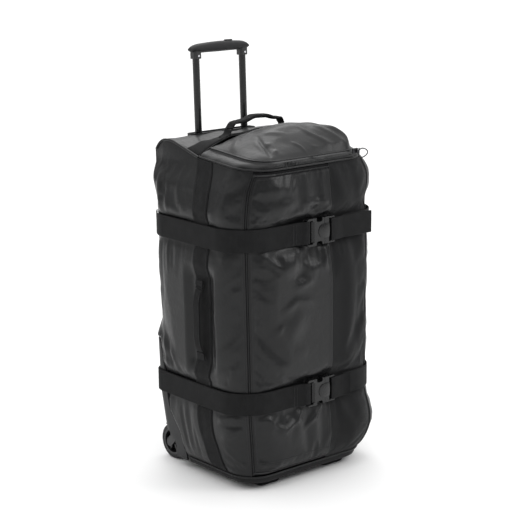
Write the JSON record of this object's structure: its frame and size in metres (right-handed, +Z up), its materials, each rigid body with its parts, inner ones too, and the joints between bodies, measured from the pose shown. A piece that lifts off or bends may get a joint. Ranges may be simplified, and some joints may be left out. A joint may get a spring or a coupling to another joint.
{
  "type": "rolling duffel bag",
  "caption": "Upright wheeled duffel bag of coated fabric with a telescopic handle, a domed top pocket, compression straps with side-release buckles, rear wheels and front feet.",
  "frame": {"origin": "on the floor below the middle of the bag's bounding box", "axes": "+X to the bag's right, -Y to its front, +Z up; the telescopic handle is at the back, +Y"},
  "size_m": [0.446, 0.3734, 0.9593],
  "materials": {
    "coated_fabric": "satin, coated tarpaulin",
    "matte_fabric": "matte, plain weave",
    "webbing": "matte, ribbed webbing",
    "piping": "satin",
    "zipper": "matte tape with coil",
    "zip_metal": "satin",
    "pull_tab": "matte",
    "buckle_plastic": "satin",
    "housing_plastic": "fine texture",
    "tray_plastic": "fine texture",
    "foot_rubber": "matte",
    "hub_plastic": "satin",
    "tyre": "matte",
    "axle_steel": "brushed",
    "sleeve_aluminium": "satin",
    "tube_black": "gloss",
    "collar_plastic": "satin",
    "grip_plastic": "fine texture",
    "button_plastic": "satin",
    "screw_steel": "bright"
  },
  "bodies": {
    "bag": {"back_panel": "matte_fabric", "base_piping": "piping", "base_tray": "tray_plastic", "front_feet": "foot_rubber", "front_flap": "coated_fabric", "front_matte_panel": "matte_fabric", "inner_back_board": "tray_plastic", "kick_plate": "housing_plastic", "left_axle_arm": "housing_plastic", "left_side_band": "webbing", "left_side_panel": "coated_fabric", "left_wheel_housing": "housing_plastic", "lower_buckle_female": "buckle_plastic", "lower_strap_left": "webbing", "lower_strap_right": "webbing", "main_zipper": "zipper", "outer_tubes": "sleeve_aluminium", "pocket_divider": "matte_fabric", "pocket_gusset": "coated_fabric", "pocket_zipper": "zipper", "right_axle_arm": "housing_plastic", "right_side_band": "webbing", "right_side_panel": "coated_fabric", "right_wheel_housing": "housing_plastic", "shoulder_panel": "coated_fabric", "side_handle_ends": "webbing", "side_piping": "piping", "top_band": "webbing", "top_handle_ends": "webbing", "top_piping": "piping", "trolley_bezel": "housing_plastic", "trolley_foot": "housing_plastic", "upper_buckle_female": "buckle_plastic", "upper_strap_left": "webbing", "upper_strap_right": "webbing", "wheel_axles": "axle_steel"},
    "handle_middle": {"middle_tubes": "tube_black", "tube_collars": "collar_plastic"},
    "handle_inner": {"inner_tubes": "tube_black", "handle_yoke": "collar_plastic", "grip": "grip_plastic", "grip_screws": "screw_steel"},
    "handle_button": {"release_button": "button_plastic"},
    "left_wheel": {"left_wheel_hub": "hub_plastic", "left_tyre": "tyre"},
    "right_wheel": {"right_wheel_hub": "hub_plastic", "right_tyre": "tyre"},
    "upper_buckle": {"upper_buckle_male": "buckle_plastic", "upper_strap_tail": "webbing"},
    "lower_buckle": {"lower_buckle_male": "buckle_plastic", "lower_strap_tail": "webbing"},
    "pocket_cover": {"pocket_lid": "coated_fabric"},
    "pocket_zip_slider": {"pocket_slider": "zip_metal"},
    "pocket_zip_pull": {"pocket_pull": "pull_tab"},
    "main_zip_lower": {"main_slider_lower": "zip_metal"},
    "main_zip_upper": {"main_slider_upper": "zip_metal"},
    "top_grab_handle": {"top_handle": "webbing"},
    "left_grab_handle": {"left_side_handle": "webbing"},
    "right_grab_handle": {"right_side_handle": "webbing"}
  },
  "joints": [
    {"name": "handle_middle_slide", "type": "slide", "parent": "bag", "child": "handle_middle", "axis": [0, 0.0262, 0.9997], "range_m": [0, 0.17]},
    {"name": "handle_inner_slide", "type": "slide", "parent": "handle_middle", "child": "handle_inner", "axis": [0, 0.0262, 0.9997], "range_m": [-0.168, 0]},
    {"name": "release_button_press", "type": "slide", "parent": "handle_inner", "child": "handle_button", "axis": [0, -0.0262, -0.9997], "range_m": [0, 0.0025], "stiffness_N_per_m": 400, "springref_m": -0.001},
    {"name": "left_wheel_spin", "type": "hinge", "parent": "bag", "child": "left_wheel", "pos_m": [-0.146, 0.141, 0.041], "axis": [1, 0, 0], "continuous": true},
    {"name": "right_wheel_spin", "type": "hinge", "parent": "bag", "child": "right_wheel", "pos_m": [0.146, 0.141, 0.041], "axis": [1, 0, 0], "continuous": true},
    {"name": "upper_buckle_release", "type": "slide", "parent": "bag", "child": "upper_buckle", "axis": [1, 0, 0], "range_m": [0, 0.03]},
    {"name": "lower_buckle_release", "type": "slide", "parent": "bag", "child": "lower_buckle", "axis": [1, 0, 0], "range_m": [0, 0.03]},
    {"name": "pocket_lid_open", "type": "hinge", "parent": "bag", "child": "pocket_cover", "pos_m": [0, 0, 0.778], "axis": [-1, 0, 0], "range_deg": [0, 70]},
    {"name": "pocket_slider_slide", "type": "slide", "parent": "bag", "child": "pocket_zip_slider", "axis": [-1, 0, 0], "range_m": [0, 0.24]},
    {"name": "pocket_pull_swing", "type": "hinge", "parent": "pocket_zip_slider", "child": "pocket_zip_pull", "pos_m": [0.1305, -0.1796, 0.728], "axis": [0, 0, -1], "range_deg": [-15, 100]},
    {"name": "main_slider_lower_slide", "type": "slide", "parent": "bag", "child": "main_zip_lower", "axis": [0.0041, 0.0053, -1], "range_m": [0, 0.3]},
    {"name": "main_slider_upper_slide", "type": "slide", "parent": "bag", "child": "main_zip_upper", "axis": [0.0123, 0.0158, 0.9998], "range_m": [0, 0.075]},
    {"name": "top_handle_fold", "type": "hinge", "parent": "bag", "child": "top_grab_handle", "pos_m": [0, 0.018, 0.778], "axis": [-1, 0, 0], "range_deg": [-5, 55]},
    {"name": "left_handle_swing", "type": "hinge", "parent": "bag", "child": "left_grab_handle", "pos_m": [-0.214, -0.04, 0.378], "axis": [0, 0, 1], "range_deg": [-22, 22]},
    {"name": "right_handle_swing", "type": "hinge", "parent": "bag", "child": "right_grab_handle", "pos_m": [0.214, -0.04, 0.378], "axis": [0, 0, 1], "range_deg": [-22, 22]}
  ]
}
